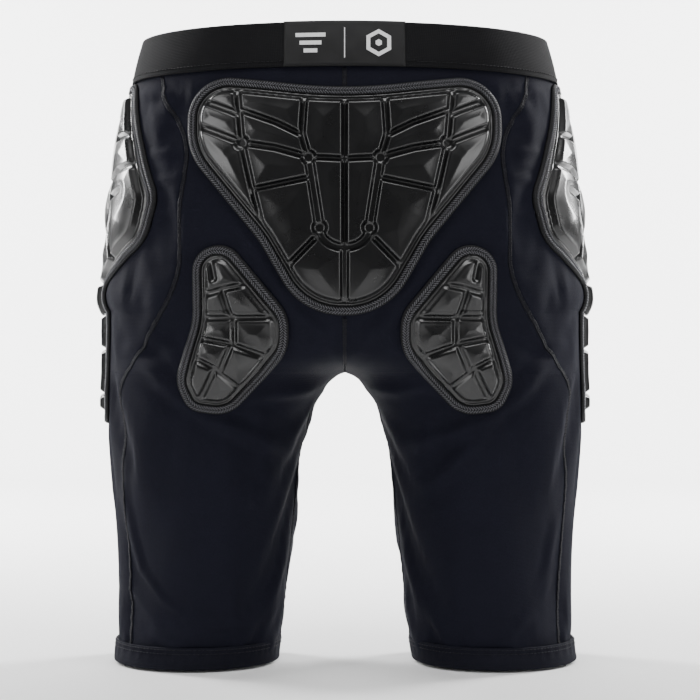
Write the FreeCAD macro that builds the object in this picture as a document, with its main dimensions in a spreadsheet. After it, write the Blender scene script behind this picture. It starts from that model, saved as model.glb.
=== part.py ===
"""Padded impact shorts: a stretch short with an elastic waistband, five sewn-on impact pads
and two legs that swing at the hips.  Millimetres, +Z up, the wearer faces +Y.
The origin is the centre of the waist opening, level with the top of the waistband."""

import FreeCAD
import Part
import math
import os

Vector = FreeCAD.Vector
doc = FreeCAD.newDocument("impact_shorts")
sub_parts = []


# ---------------------------------------------------------------- driving dimensions

SIZES = {
    # level, half width and half depth of the body from the waist down to the hem, and how far
    # each side's section is centred off the middle: at the fork it clears the other leg
    "waist_level": 0, "waist_out": 0, "waist_wide": 159, "waist_deep": 104,
    "band_edge_level": -34, "band_edge_out": 0, "band_edge_wide": 168, "band_edge_deep": 111,
    "upper_hip_level": -75, "upper_hip_out": 0, "upper_hip_wide": 176, "upper_hip_deep": 118,
    "full_hip_level": -125, "full_hip_out": 0, "full_hip_wide": 182, "full_hip_deep": 123,
    "seat_level": -175, "seat_out": 0, "seat_wide": 186, "seat_deep": 123,
    "low_seat_level": -214, "low_seat_out": 0, "low_seat_wide": 188, "low_seat_deep": 116,
    "tuck_level": -230, "tuck_out": 16, "tuck_wide": 172, "tuck_deep": 110,
    "under_seat_level": -246, "under_seat_out": 54, "under_seat_wide": 134,
    "under_seat_deep": 103,
    "fork_level": -262, "fork_out": 94, "fork_wide": 94, "fork_deep": 93.5,
    "upper_thigh_level": -278, "upper_thigh_out": 104, "upper_thigh_wide": 85,
    "upper_thigh_deep": 84.5,
    "thigh_level": -312, "thigh_out": 110, "thigh_wide": 78, "thigh_deep": 77.5,
    "mid_thigh_level": -372, "mid_thigh_out": 110, "mid_thigh_wide": 69.5,
    "mid_thigh_deep": 69,
    "lower_thigh_level": -428, "lower_thigh_out": 112, "lower_thigh_wide": 65.5,
    "lower_thigh_deep": 65,
    "hem_level": -490, "hem_out": 119, "hem_wide": 65, "hem_deep": 64.5,
    # the plain torso carries on a little below the tailbone pad
    "tail_end_level": -240, "tail_end_out": 0, "tail_end_wide": 186, "tail_end_deep": 107,
    # heights of the layers above the outer face of the fabric
    "fabric_inner": -1.2, "fabric_outer": 0, "band_inner": -1.2, "band_outer": 0.8,
    "sewn_inner": 0.3, "seam_outer": 1.2, "tape_outer": 1.8,
    "label_inner": 1.1, "label_outer": 1.9, "stitch_inner": 2.1, "stitch_outer": 2.7,
    "core_outer": 7, "skin_inner": 7.3, "skin_outer": 9,
    # trims
    "band_height": 34, "butt_gap": 0.3, "label_width": 90, "band_stitch_height": 3,
    "band_stitch_width": 1.6, "seam_width": 3.2, "hem_height": 17, "hem_stitch_width": 2.4,
    # pads
    "tape_width": 6.4, "skin_wall": 2, "fit_gap": 0.3, "stitch_inset": 1.6,
    "stitch_width": 3.2,
    # the hip hinge: its height, and the round edge that the leg swings under
    "hinge_level": -250, "hinge_radius": 112, "leg_gap": 0.6,
    # how far the cutting blocks reach
    "reach": 260,
}

sheet = doc.addObject("Spreadsheet::Sheet", "Sizes")
for row, (alias, value) in enumerate(SIZES.items(), start=1):
    sheet.set(f"A{row}", alias)
    sheet.set(f"B{row}", str(value))
    sheet.setAlias(f"B{row}", alias)
doc.recompute()


def cell(alias):
    """The value of one driving dimension."""
    return float(sheet.get(alias))


def bind(item, **rules):
    """Ties properties of an object to the spreadsheet; a double underscore stands for a dot."""
    for name, rule in rules.items():
        item.setExpression(name.replace("__", "."), rule)
    return item


def height(level):
    """Turns a height above the hem into a level in the part's frame."""
    return level + cell("hem_level")


# ---------------------------------------------------------------- the body's layered shape

TORSO = ("waist", "band_edge", "upper_hip", "full_hip", "seat", "low_seat")
FORK = ("tuck", "under_seat", "fork", "upper_thigh", "thigh", "mid_thigh", "lower_thigh", "hem")
LEVELS = {"left": TORSO + FORK, "right": TORSO + FORK, "middle": TORSO + ("tail_end",)}
SIDES = {"left": -1, "right": 1}


def ring(side, level, layer):
    """One elliptical section of the body, grown by the height of a layer."""
    section = doc.addObject("Part::Ellipse", f"{side}_{level}_{layer}")
    if side == "right":
        section.Placement.Rotation = FreeCAD.Rotation(180, 0, 0)
    bind(
        section,
        MajorRadius=f"Sizes.{level}_wide + Sizes.{layer}",
        MinorRadius=f"Sizes.{level}_deep + Sizes.{layer}",
        Placement__Base__x=f"{SIDES.get(side, 0)} * Sizes.{level}_out",
        Placement__Base__z=f"Sizes.{level}_level",
    )
    return section


def volume(side, layer):
    """One side of the body out to a layer, from the waist to the hem, or the plain torso."""
    name = f"{side}_body_{layer}"
    if not doc.getObject(name):
        solid = doc.addObject("Part::Loft", name)
        solid.Sections = [ring(side, level, layer) for level in LEVELS[side]]
        solid.Solid = True
        solid.Ruled = True
    return doc.getObject(name)


def cut(name, base, tool):
    result = doc.addObject("Part::Cut", name)
    result.Base = base
    result.Tool = tool
    return result


def common(name, *shapes):
    result = doc.addObject("Part::MultiCommon", name)
    result.Shapes = list(shapes)
    return result


def shell(side, inner, outer):
    """The skin of one side of the body between two layers, open at the waist and the hem."""
    name = f"{side}_shell_{inner}_{outer}"
    return doc.getObject(name) or cut(name, volume(side, outer), volume(side, inner))


def block(name, x, y, z):
    """A box between two limits along each axis; each limit is a rule for the spreadsheet."""
    box = doc.addObject("Part::Box", name)
    spans = {"x": ("Length", x), "y": ("Width", y), "z": ("Height", z)}
    for axis, (size, (low, high)) in spans.items():
        box.setExpression(f".Placement.Base.{axis}", low)
        box.setExpression(size, f"({high}) - ({low})")
    return box


def sub_part(item, name):
    """Marks an object as a finished sub-part under its own label."""
    item.Label = name
    sub_parts.append(item)
    return item


FAR = ("-Sizes.reach", "Sizes.reach")
BEHIND = ("-Sizes.reach", "0")
AHEAD = ("0", "Sizes.reach")
HALF = {"left": BEHIND, "right": AHEAD}
DOWN = "Sizes.hem_level - 10"


# ---------------------------------------------------------------- outlines

BACK_PLANE = FreeCAD.Rotation(Vector(1, 0, 0), 90)
SIDE_PLANE = FreeCAD.Rotation(Vector(1, 1, 1), 120)


def sketch(name, edges, plane):
    """A flat outline: across and up, as seen from behind or from the side."""
    outline = doc.addObject("Sketcher::SketchObject", name)
    outline.addGeometry(edges)
    outline.Placement.Rotation = plane
    return outline


def rounded(corners):
    """Straight runs joined by tangent arcs, from corners of (across, up, radius)."""
    runs = []
    arcs = []
    for i, (across, up, radius) in enumerate(corners):
        here = Vector(across, height(up), 0)
        before = Vector(corners[i - 1][0], height(corners[i - 1][1]), 0) - here
        ahead = corners[(i + 1) % len(corners)]
        after = Vector(ahead[0], height(ahead[1]), 0) - here
        before.normalize()
        after.normalize()
        half_angle = before.getAngle(after) / 2
        inward = (before + after).normalize()
        back = radius / math.tan(half_angle)
        middle = here + inward * (radius / math.sin(half_angle) - radius)
        arcs.append(Part.Arc(here + before * back, middle, here + after * back))
    for arc, following in zip(arcs, arcs[1:] + arcs[:1]):
        runs.append(Part.LineSegment(arc.EndPoint, following.StartPoint))
    return arcs + runs


def ribbon(route, width):
    """A band of even width along a smooth route of (across, up) points."""
    edges = []
    for shift in (-width / 2, width / 2):
        curve = Part.BSplineCurve()
        curve.interpolate([Vector(a + shift, height(b), 0) for a, b in route])
        edges.append(curve)
    first, second = edges
    edges.append(Part.LineSegment(first.StartPoint, second.StartPoint))
    edges.append(Part.LineSegment(first.EndPoint, second.EndPoint))
    return edges


def prism(name, outline, direction):
    """An outline carried through the body along one direction."""
    solid = doc.addObject("Part::Extrusion", name)
    solid.Base = outline
    solid.DirMode = "Custom"
    solid.Dir = direction
    solid.Solid = True
    return bind(solid, LengthFwd="Sizes.reach")


def inset(name, outline, rule):
    """An outline drawn in evenly by a distance from the spreadsheet."""
    smaller = doc.addObject("Part::Offset2D", name)
    smaller.Source = outline
    return bind(smaller, Value=f"-({rule})")


# ---------------------------------------------------------------- where the legs part from the seat

below_hinge = block("below_hinge", FAR, FAR, (DOWN, "Sizes.hinge_level"))


def hinge_drum(name, radius):
    """The round zone about the hip hinge, which the leg swings under."""
    drum = doc.addObject("Part::Cylinder", name)
    drum.Placement.Rotation = FreeCAD.Rotation(Vector(0, 1, 0), 90)
    return bind(
        drum,
        Radius=radius,
        Height="2 * Sizes.reach",
        Placement__Base__x="-Sizes.reach",
        Placement__Base__z="Sizes.hinge_level",
    )


seat_drum = hinge_drum("seat_drum", "Sizes.hinge_radius")
leg_drum = hinge_drum("leg_drum", "Sizes.hinge_radius + Sizes.leg_gap")
under_seat_zone = cut("under_seat_zone", below_hinge, seat_drum)
leg_zone = cut("leg_zone", below_hinge, leg_drum)

# ---------------------------------------------------------------- waistband, its stitching and the label

band_span = ("-Sizes.band_height", "0")
band_zone = block("band_zone", FAR, FAR, band_span)
waistband = common("waistband", shell("middle", "band_inner", "band_outer"), band_zone)
sub_part(waistband, "waistband")

label_layer = shell("middle", "label_inner", "label_outer")
label_span = ("-Sizes.label_width / 2", "Sizes.label_width / 2")
label_zone = block("label_zone", label_span, BEHIND, band_span)
sub_part(common("label_patch", label_layer, label_zone), "waist_label")

stitch_low = "Sizes.band_stitch_height - Sizes.band_height"
stitch_top = f"{stitch_low} + Sizes.band_stitch_width"
band_stitch_zone = block("band_stitch_zone", FAR, FAR, (stitch_low, stitch_top))
label_room_span = (f"{label_span[0]} - Sizes.butt_gap", f"{label_span[1]} + Sizes.butt_gap")
label_room = block("label_room", label_room_span, BEHIND, band_span)
band_run = cut("band_run", band_stitch_zone, label_room)
sub_part(common("band_thread", label_layer, band_run), "waistband_stitching")

# ---------------------------------------------------------------- seat panels and their seams

# the side seams, from the waistband to the hem: distance off the middle, height above the hem
BACK_SEAM = ((142, 470), (136, 436), (122, 410), (122, 350), (127, 295), (150, 255),
             (171, 222), (174, 180), (171, 110), (168, 60), (172, -12))
FRONT_SEAM = ((118, 470), (112, 400), (112, 320), (124, 240), (140, 160), (150, 80),
              (158, -12))
BACKWARD = Vector(0, -1, 0)
FORWARD = Vector(0, 1, 0)
SEAMS = {"back": (BACK_SEAM, BACKWARD), "front": (FRONT_SEAM, FORWARD)}
under_band = ("Sizes.hem_level - 10", "-Sizes.band_height - Sizes.butt_gap")


def panel_field(name, seam, out, direction):
    """The space from the middle out to a seam, behind or ahead of the wearer."""
    curve = Part.BSplineCurve()
    curve.interpolate([Vector(out * a, height(b), 0) for a, b in seam])
    top = Vector(0, curve.StartPoint.y, 0)
    foot = Vector(0, curve.EndPoint.y, 0)
    edges = [
        Part.LineSegment(top, curve.StartPoint),
        curve,
        Part.LineSegment(curve.EndPoint, foot),
        Part.LineSegment(foot, top),
    ]
    return prism(name, sketch(f"{name}_outline", edges, BACK_PLANE), direction)


def seat_piece(name, layer, field):
    """The part of a layer that lies in a field, above the edge that the leg swings under."""
    whole = common(f"{name}_whole", layer, field)
    return cut(f"{name}_cut", whole, under_seat_zone)


fields = {}
cloth = {}
seam_layer = {}
for side, out in SIDES.items():
    half = block(f"{side}_half", HALF[side], FAR, under_band)
    cloth[side] = common(f"{side}_cloth", shell(side, "fabric_inner", "fabric_outer"), half)
    seam_layer[side] = common(f"{side}_seams", shell(side, "sewn_inner", "seam_outer"), half)
    fields[side] = {}
    for place, (seam, direction) in SEAMS.items():
        fields[side][place] = panel_field(f"{side}_{place}_field", seam, out, direction)
        band = ribbon([(out * a, b) for a, b in seam], cell("seam_width"))
        outline = sketch(f"{side}_{place}_seam_outline", band, BACK_PLANE)
        run = prism(f"{side}_{place}_seam_run", outline, direction)
        fields[side][f"{place}_seam"] = run
        seam_piece = seat_piece(f"{side}_{place}_seam", seam_layer[side], run)
        sub_part(seam_piece, f"{place}_side_seam_{side}")
    both = doc.addObject("Part::Fuse", f"{side}_fields")
    both.Base = fields[side]["back"]
    both.Tool = fields[side]["front"]
    fields[side]["side"] = cut(f"{side}_side_field", half, both)
    for place in ("back", "side", "front"):
        panel = seat_piece(f"{side}_{place}_panel", cloth[side], fields[side][place])
        sub_part(panel, f"{place}_panel_{side}")


# ---------------------------------------------------------------- impact pads

# corners of each pad's outer edge: across, height above the hem, radius of the rounding
TAILBONE = ((0, 437, 300), (-117, 453, 30), (-117, 393, 50), (-63, 327, 90), (-31, 272, 50),
            (31, 272, 50), (63, 327, 90), (117, 393, 50), (117, 453, 30))
SIT_BONE = ((113, 318, 18), (113, 268, 60), (127, 222, 22), (118, 200, 16), (88, 196, 24),
            (42, 246, 26), (42, 272, 26), (87, 326, 20))
HIP = ((-32, 454, 14), (-60, 402, 40), (-78, 362, 32), (-72, 328, 28), (-22, 296, 14),
       (-22, 188, 12), (22, 188, 12), (22, 296, 14), (72, 328, 28), (78, 362, 32),
       (60, 402, 40), (32, 454, 14))


def pad(name, side, corners, plane, direction):
    """One impact pad: a foam core under a moulded skin, inside a tape sewn round its edge."""
    rim = sketch(f"{name}_rim", rounded(corners), plane)
    if plane == SIDE_PLANE:
        bind(rim, Placement__Base__x=f"{SIDES[side]} * Sizes.mid_thigh_out")
    skin_edge = "Sizes.tape_width + Sizes.fit_gap"
    room_edge = f"{skin_edge} + Sizes.skin_wall"
    lines = {
        "rim": rim,
        "row_out": inset(f"{name}_row_out", rim, "Sizes.stitch_inset"),
        "row_in": inset(f"{name}_row_in", rim, "Sizes.stitch_inset + Sizes.stitch_width"),
        "tape_in": inset(f"{name}_tape_in", rim, "Sizes.tape_width"),
        "skin": inset(f"{name}_skin_edge", rim, skin_edge),
        "room": inset(f"{name}_room_edge", rim, room_edge),
        "core": inset(f"{name}_core_edge", rim, f"{room_edge} + Sizes.fit_gap"),
    }
    solid = {k: prism(f"{name}_{k}_prism", v, direction) for k, v in lines.items()}

    tape_ring = cut(f"{name}_tape_ring", solid["rim"], solid["tape_in"])
    tape = common(f"{name}_tape", shell(side, "sewn_inner", "tape_outer"), tape_ring)
    sub_part(tape, f"{name}_edge_tape")

    row_ring = cut(f"{name}_row_ring", solid["row_out"], solid["row_in"])
    thread = common(f"{name}_thread", shell(side, "stitch_inner", "stitch_outer"), row_ring)
    sub_part(thread, f"{name}_stitching")

    core = common(f"{name}_foam", shell(side, "sewn_inner", "core_outer"), solid["core"])
    sub_part(core, f"{name}_foam_core")

    blank = common(f"{name}_blank", shell(side, "sewn_inner", "skin_outer"), solid["skin"])
    room = common(f"{name}_room", volume(side, "skin_inner"), solid["room"])
    sub_part(cut(f"{name}_cover", blank, room), f"{name}_pad_skin")
    return solid["rim"]


tailbone_rim = pad("tailbone", "middle", TAILBONE, BACK_PLANE, BACKWARD)
for side, out in SIDES.items():
    sit_bone = [(out * a, b, r) for a, b, r in SIT_BONE]
    pad(f"sit_bone_{side}", side, sit_bone, BACK_PLANE, BACKWARD)
    pad(f"hip_{side}", side, HIP, SIDE_PLANE, Vector(out, 0, 0))

# ---------------------------------------------------------------- middle seams

seam_span = ("-Sizes.seam_width / 2", "Sizes.seam_width / 2")
back_middle = cut("back_middle", block("back_strip", seam_span, BEHIND, under_band), tailbone_rim)
front_middle = block("front_strip", seam_span, AHEAD, under_band)
for place, strip in (("back", back_middle), ("front", front_middle)):
    halves = [common(f"{side}_{place}_middle", seam_layer[side], strip) for side in SIDES]
    joined = doc.addObject("Part::MultiFuse", f"{place}_middle_seam")
    joined.Shapes = halves
    middle_seam = cut(f"{place}_middle_run", joined, under_seat_zone)
    sub_part(middle_seam, f"centre_{place}_seam")

# ---------------------------------------------------------------- legs

hem_top = "Sizes.hem_level + Sizes.hem_height"
above_hem = (f"{hem_top} + Sizes.butt_gap", "0")
hem_row_low = f"{hem_top} - 2 * Sizes.hem_stitch_width"
hem_row_top = f"{hem_row_low} + Sizes.hem_stitch_width"


def leg_piece(name, layer, *zones):
    """The part of a layer that lies in some zones and swings with the leg."""
    return common(name, layer, leg_zone, *zones)


for side, out in SIDES.items():
    upper = block(f"{side}_leg_upper", HALF[side], FAR, above_hem)
    for place in ("back", "side", "front"):
        piece = leg_piece(f"{side}_{place}_cloth", cloth[side], fields[side][place], upper)
        sub_part(piece, f"{side}_leg_{place}")
    for place in SEAMS:
        run = fields[side][f"{place}_seam"]
        piece = leg_piece(f"{side}_{place}_run", seam_layer[side], run, upper)
        sub_part(piece, f"{side}_leg_{place}_seam")
    middle = f"{out} * Sizes.mid_thigh_out"
    inner_span = ("0", middle) if out > 0 else (middle, "0")
    inseam_zone = block(f"{side}_inseam_zone", inner_span, seam_span, above_hem)
    sub_part(leg_piece(f"{side}_inseam_run", seam_layer[side], inseam_zone), f"{side}_inseam")

    hem_zone = block(f"{side}_hem_zone", FAR, FAR, (DOWN, hem_top))
    hem_layer = shell(side, "fabric_inner", "band_outer")
    sub_part(common(f"{side}_hem_band", hem_layer, hem_zone), f"{side}_hem")
    hem_row = block(f"{side}_hem_row", FAR, FAR, (hem_row_low, hem_row_top))
    thread_layer = shell(side, "label_inner", "label_outer")
    sub_part(common(f"{side}_hem_thread", thread_layer, hem_row), f"{side}_hem_stitching")

# ---------------------------------------------------------------- checks and export

doc.recompute()
failed = [o.Name for o in doc.Objects if {"Invalid", "Error"} & set(o.State)]
if failed:
    raise RuntimeError(f"these objects did not build: {failed}")
for item in sub_parts:
    if item.Shape.isNull() or not item.Shape.isValid() or not item.Shape.Solids:
        raise RuntimeError(f"{item.Label} has no sound solid")

os.makedirs("parts", exist_ok=True)
for item in sub_parts:
    item.Shape.exportStep(f"parts/{item.Label}.step")
    box = item.Shape.BoundBox
    print(f"{item.Label}: {len(item.Shape.Solids)} solid, {item.Shape.Volume / 1000:.1f} cm3, "
          f"{box.XLength:.0f} x {box.YLength:.0f} x {box.ZLength:.0f} mm")
print(f"{len(sub_parts)} sub-parts")
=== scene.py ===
import math
import bpy
import numpy as np
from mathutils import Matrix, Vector


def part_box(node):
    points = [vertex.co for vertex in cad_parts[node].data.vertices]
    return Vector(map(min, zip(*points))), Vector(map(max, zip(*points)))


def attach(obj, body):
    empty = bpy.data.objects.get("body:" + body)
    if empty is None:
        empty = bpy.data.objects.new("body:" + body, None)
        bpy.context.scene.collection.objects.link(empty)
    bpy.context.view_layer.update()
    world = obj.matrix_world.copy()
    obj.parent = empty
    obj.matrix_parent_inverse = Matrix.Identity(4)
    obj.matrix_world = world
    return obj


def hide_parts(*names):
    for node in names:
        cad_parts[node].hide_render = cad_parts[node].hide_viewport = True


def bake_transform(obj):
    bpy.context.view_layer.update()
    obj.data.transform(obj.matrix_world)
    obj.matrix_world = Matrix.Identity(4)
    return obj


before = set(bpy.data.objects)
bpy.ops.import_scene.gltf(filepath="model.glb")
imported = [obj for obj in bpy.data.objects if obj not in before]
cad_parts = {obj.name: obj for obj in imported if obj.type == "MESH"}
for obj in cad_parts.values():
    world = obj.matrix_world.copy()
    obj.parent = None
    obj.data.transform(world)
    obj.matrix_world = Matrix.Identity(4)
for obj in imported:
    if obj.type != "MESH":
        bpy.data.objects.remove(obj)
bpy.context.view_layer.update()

# ---------------------------------------------------------------------------------------
# The seat and legs: six panels of brushed stretch knit, three a side, cut with a back and
# a front side seam and sewn edge to edge.  One soft cloth simulation slackens them, and
# the folds that the sewn pads pull into the cloth are laid in from a given table.
# ---------------------------------------------------------------------------------------
MM = 0.001
DROP = -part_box("left_hem")[0].z / MM
SIDES = {"left": -1, "right": 1}

# height above the hem, centre off the middle, half width, half depth (mm)
BODY = np.array([
    (492, 0, 159, 104), (456, 0, 168, 111), (415, 0, 176, 118), (365, 0, 182, 123),
    (315, 0, 186, 123), (276, 0, 188, 116), (260, 16, 172, 110), (244, 54, 134, 103),
    (228, 94, 94, 93.5), (212, 104, 85, 84.5), (178, 110, 78, 77.5), (118, 110, 69.5, 69),
    (62, 112, 65.5, 65), (-2, 119, 65, 64.5)])[::-1]
BACK_SEAM = np.array([
    (470, 142), (436, 136), (410, 122), (350, 122), (295, 127), (255, 150), (222, 171),
    (180, 174), (110, 171), (60, 168), (-12, 172)])[::-1]
FRONT_SEAM = np.array([
    (470, 118), (400, 112), (320, 112), (240, 124), (160, 140), (80, 150), (-12, 158)])[::-1]


def smooth_curve(table, at):
    """Values on a smooth curve through a table whose first column rises."""
    keys, values = table[:, 0], table[:, 1:]
    slope = np.gradient(values, keys, axis=0)
    i = np.clip(np.searchsorted(keys, at) - 1, 0, len(keys) - 2)
    step = (keys[i + 1] - keys[i])[..., None]
    t = ((at - keys[i])[..., None] / step)
    a, b = values[i], values[i + 1]
    ta, tb = slope[i] * step, slope[i + 1] * step
    t2, t3 = t * t, t * t * t
    return (2*t3 - 3*t2 + 1)*a + (t3 - 2*t2 + t)*ta + (3*t2 - 2*t3)*b + (t3 - t2)*tb


def section(height):
    """Centre, half width and half depth of one side's oval at a height."""
    c, w, d = np.moveaxis(smooth_curve(BODY, height), -1, 0)
    return np.maximum(c, 0), w, d


def on_body(side, x, y, height):
    """The unit normal of the body at a point of its surface."""
    c, w, d = section(height)
    above, below = section(height + 0.5), section(height - 0.5)
    dc, dw, dd = (a - b for a, b in zip(above, below))
    fx = (x - c) / w**2
    fz = -(fx * dc + (x - c)**2 / w**3 * dw + y**2 / d**3 * dd)
    n = np.stack([side * fx, y / d**2, fz], axis=-1)
    return n / np.linalg.norm(n, axis=-1, keepdims=True)


def by_angle(side, angle, height):
    """Points and normals on a side's oval, from the angle back from straight out."""
    c, w, d = section(height)
    x = np.maximum(c + w * np.cos(angle), 0)
    y = -d * np.sin(angle)
    return np.stack([side * x, y, height - DROP], axis=-1), on_body(side, x, y, height)


def from_behind(x, height):
    """Points and normals on the back of the body, seen straight from behind."""
    c, w, d = section(height)
    reach = np.clip((np.abs(x) - c) / w, -1, 1)
    y = -d * np.sqrt(1 - reach**2)
    side = np.where(x < 0, -1, 1)
    return np.stack([x, y, height - DROP], axis=-1), on_body(side, np.abs(x), y, height)


def from_the_side(side, y, height):
    """Points and normals on the outside of one hip, seen from that side."""
    c, w, d = section(height)
    x = c + w * np.sqrt(1 - np.clip(y / d, -1, 1)**2)
    return np.stack([side * x, y, height - DROP], axis=-1), on_body(side, x, y, height)


def smoothstep(low, high, value):
    t = np.clip((value - low) / (high - low), 0, 1)
    return t * t * (3 - 2 * t)


def along_line(points):
    """How far each point is along the line through them."""
    steps = np.linalg.norm(np.diff(points, axis=0), axis=1)
    return np.concatenate([[0], np.cumsum(steps)])


def rounded(corners, step=1.5):
    """A closed outline of straight runs and tangent arcs, from corners (across, up, radius)."""
    points = []
    for i, (x, z, radius) in enumerate(corners):
        here = np.array((x, z), float)
        before = np.array(corners[i - 1][:2], float) - here
        after = np.array(corners[(i + 1) % len(corners)][:2], float) - here
        before /= np.linalg.norm(before)
        after /= np.linalg.norm(after)
        half = math.acos(np.clip(before @ after, -1, 1)) / 2
        inward = (before + after) / np.linalg.norm(before + after)
        centre = here + inward * radius / math.sin(half)
        start = here + before * radius / math.tan(half) - centre
        sweep = math.pi - 2 * half
        turn = np.sign(np.cross(start, here + after * radius / math.tan(half) - centre))
        for a in np.linspace(0, sweep * turn, max(2, int(radius * sweep / step) + 1)):
            c, s = math.cos(a), math.sin(a)
            points.append(centre + (c * start[0] - s * start[1], s * start[0] + c * start[1]))
    closed = np.array(points + points[:1])
    along = along_line(closed)
    count = int(along[-1] / step)
    at = np.linspace(0, along[-1], count, endpoint=False)
    outline = np.stack([np.interp(at, along, closed[:, k]) for k in (0, 1)], axis=1)
    area = np.cross(outline, np.roll(outline, -1, axis=0)).sum()
    return outline if area > 0 else outline[::-1]


FAR = 1e9


def to_path(points, path, closed=False):
    """Distance from each point to a path, and how far along the path the nearest point is."""
    path = np.asarray(path, float)
    if closed:
        path = np.concatenate([path, path[:1]])
    best = np.full(points.shape[:-1], FAR)
    share = np.zeros(points.shape[:-1])
    lengths = np.linalg.norm(np.diff(path, axis=0), axis=1)
    start = along_line(path)
    for a, b, length, s in zip(path[:-1], path[1:], lengths, start):
        t = np.clip(((points - a) @ (b - a)) / length**2, 0, 1)
        d = np.linalg.norm(points - a - t[..., None] * (b - a), axis=-1)
        near = d < best
        best = np.where(near, d, best)
        share = np.where(near, (s + t * length) / start[-1], share)
    return best, share


def inside(points, outline):
    """Distance in from a closed outline, negative outside it."""
    d, _ = to_path(points, outline, closed=True)
    odd = np.zeros(points.shape[:-1], bool)
    x, z = points[..., 0], points[..., 1]
    for (x0, z0), (x1, z1) in zip(outline, np.roll(outline, -1, axis=0)):
        if z0 != z1:
            crosses = (z0 > z) != (z1 > z)
            odd ^= crosses & (x < x0 + (z - z0) * (x1 - x0) / (z1 - z0))
    return np.where(odd, d, -d)


# the outer edge of each pad's tape: across, height above the hem, corner radius
TAILBONE = ((0, 437, 300), (-117, 453, 30), (-117, 393, 50), (-63, 327, 90), (-31, 272, 50),
            (31, 272, 50), (63, 327, 90), (117, 393, 50), (117, 453, 30))
SIT_BONE = ((113, 318, 18), (113, 268, 60), (127, 222, 22), (118, 200, 16), (88, 196, 24),
            (42, 246, 26), (42, 272, 26), (87, 326, 20))
HIP = ((-32, 454, 14), (-60, 402, 40), (-78, 362, 32), (-72, 328, 28), (-22, 296, 14),
       (-22, 188, 12), (22, 188, 12), (22, 296, 14), (72, 328, 28), (78, 362, 32),
       (60, 402, 40), (32, 454, 14))
# the hip pads lie farther out from the middle than this
HIPS_BEYOND = 120
pad_rims = {"tailbone": rounded(TAILBONE), "hip": rounded(HIP), "sit_bone": rounded(SIT_BONE)}


def clear_of_pads(points):
    """1 on open cloth, falling to 0 under the pads, which hold the cloth flat."""
    x, y, height = points[..., 0], points[..., 1], points[..., 2] + DROP
    behind = np.stack([x, height], axis=-1)
    either_side = np.stack([np.abs(x), height], axis=-1)
    beside = np.stack([y, height], axis=-1)
    gap = np.full(x.shape, FAR)
    back = y < 0
    for where, flat, rim in ((back, behind, "tailbone"), (back, either_side, "sit_bone"),
                             (np.abs(x) > HIPS_BEYOND, beside, "hip")):
        gap[where] = np.minimum(gap[where], -inside(flat[where], pad_rims[rim]))
    return smoothstep(-3, 9, gap)


# folds seen from behind: route of (across, height), height of the fold, its width (mm)
FOLDS = [
    (((-164, 246), (-145, 229), (-122, 209), (-104, 196), (-78, 184), (-44, 169)), 3.4, 5.5),
    (((-150, 262), (-128, 240), (-104, 226)), 1.6, 5),
    (((165, 250), (131, 212), (116, 201), (86, 184), (45, 172)), 3.2, 5.5),
    (((120, 203), (94, 170), (56, 134)), 2.6, 6),
    (((-11, 224), (-34, 216), (-78, 209), (-98, 200)), 2.2, 4),
    (((15, 220), (41, 216), (63, 220), (84, 210)), 2.2, 4),
    (((-62, 306), (-48, 292), (-30, 280)), 1.1, 3.5), (((-52, 318), (-34, 302)), 1.0, 3),
    (((62, 306), (46, 290), (28, 276)), 1.1, 3.5), (((54, 316), (36, 300)), 1.0, 3),
    (((-44, 276), (-20, 262), (-4, 240)), 1.2, 5), (((44, 276), (22, 260), (4, 240)), 1.2, 5),
    (((-134, 418), (-120, 414)), 0.9, 2.5), (((-150, 396), (-124, 393)), 1.0, 3),
    (((-150, 377), (-126, 373)), 1.0, 3), (((-148, 350), (-126, 352)), 0.8, 3.5),
    (((134, 420), (122, 415)), 0.9, 2.5), (((150, 398), (125, 394)), 1.0, 3),
    (((150, 376), (126, 374)), 1.0, 3), (((148, 352), (126, 350)), 0.8, 3.5),
    (((-160, 446), (-138, 440), (-132, 428)), 1.6, 4), (((150, 447), (136, 440)), 1.2, 4),
    (((-172, 176), (-172, 130), (-167, 104), (-160, 78), (-142, 58), (-122, 46),
      (-100, 38), (-72, 36)), 1.5, 2.6),
    (((166, 120), (160, 84), (152, 64)), 1.2, 3), (((164, 84), (156, 58)), 0.9, 3),
    (((-172, 70), (-160, 52), (-150, 44)), 1.4, 4), (((-150, 30), (-128, 24)), 1.2, 4),
    (((144, 44), (124, 30)), 1.3, 4), (((70, 120), (86, 60)), 1.2, 12),
    (((-76, 150), (-94, 90)), 1.3, 14), (((-130, 150), (-120, 90)), 1.2, 16),
    (((130, 160), (124, 96)), 1.3, 16), (((100, 190), (112, 150)), 1.2, 12),
    (((-66, 190), (-58, 140)), 1.2, 8), (((62, 196), (58, 150)), 1.1, 8),
]
# folds seen from the front, where the thighs crease the cloth at the groin
FRONT_FOLDS = [
    (((-20, 232), (-60, 244), (-110, 268)), 2.4, 6), (((20, 232), (62, 242), (112, 266)), 2.4, 6),
    (((-16, 246), (-50, 266), (-86, 296)), 1.6, 6), (((16, 246), (52, 264), (84, 292)), 1.6, 6),
    (((-150, 300), (-120, 286)), 1.2, 5), (((150, 300), (120, 288)), 1.2, 5),
    (((-70, 170), (-110, 150)), 1.2, 7), (((74, 168), (112, 152)), 1.2, 7),
    (((-60, 60), (-100, 46)), 1.0, 6), (((64, 66), (104, 50)), 1.0, 6),
]


def fold_height(points):
    """How far the folds lift the cloth, with a hollow beside each one."""
    x, y, height = points[..., 0], points[..., 1], points[..., 2] + DROP
    flat = np.stack([x, height], axis=-1)
    lift = np.zeros(x.shape)
    for folds, here in ((FOLDS, y < 4), (FRONT_FOLDS, y > -4)):
        for route, tall, wide in folds:
            d, share = to_path(flat[here], route)
            fade = np.sin(np.pi * np.clip(share, 0.03, 0.97))**0.6
            ridge = np.exp(-(d / wide)**2) - 0.45 * np.exp(-(d / wide - 1.9)**2)
            lift[here] += tall * fade * ridge
    return lift


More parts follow.
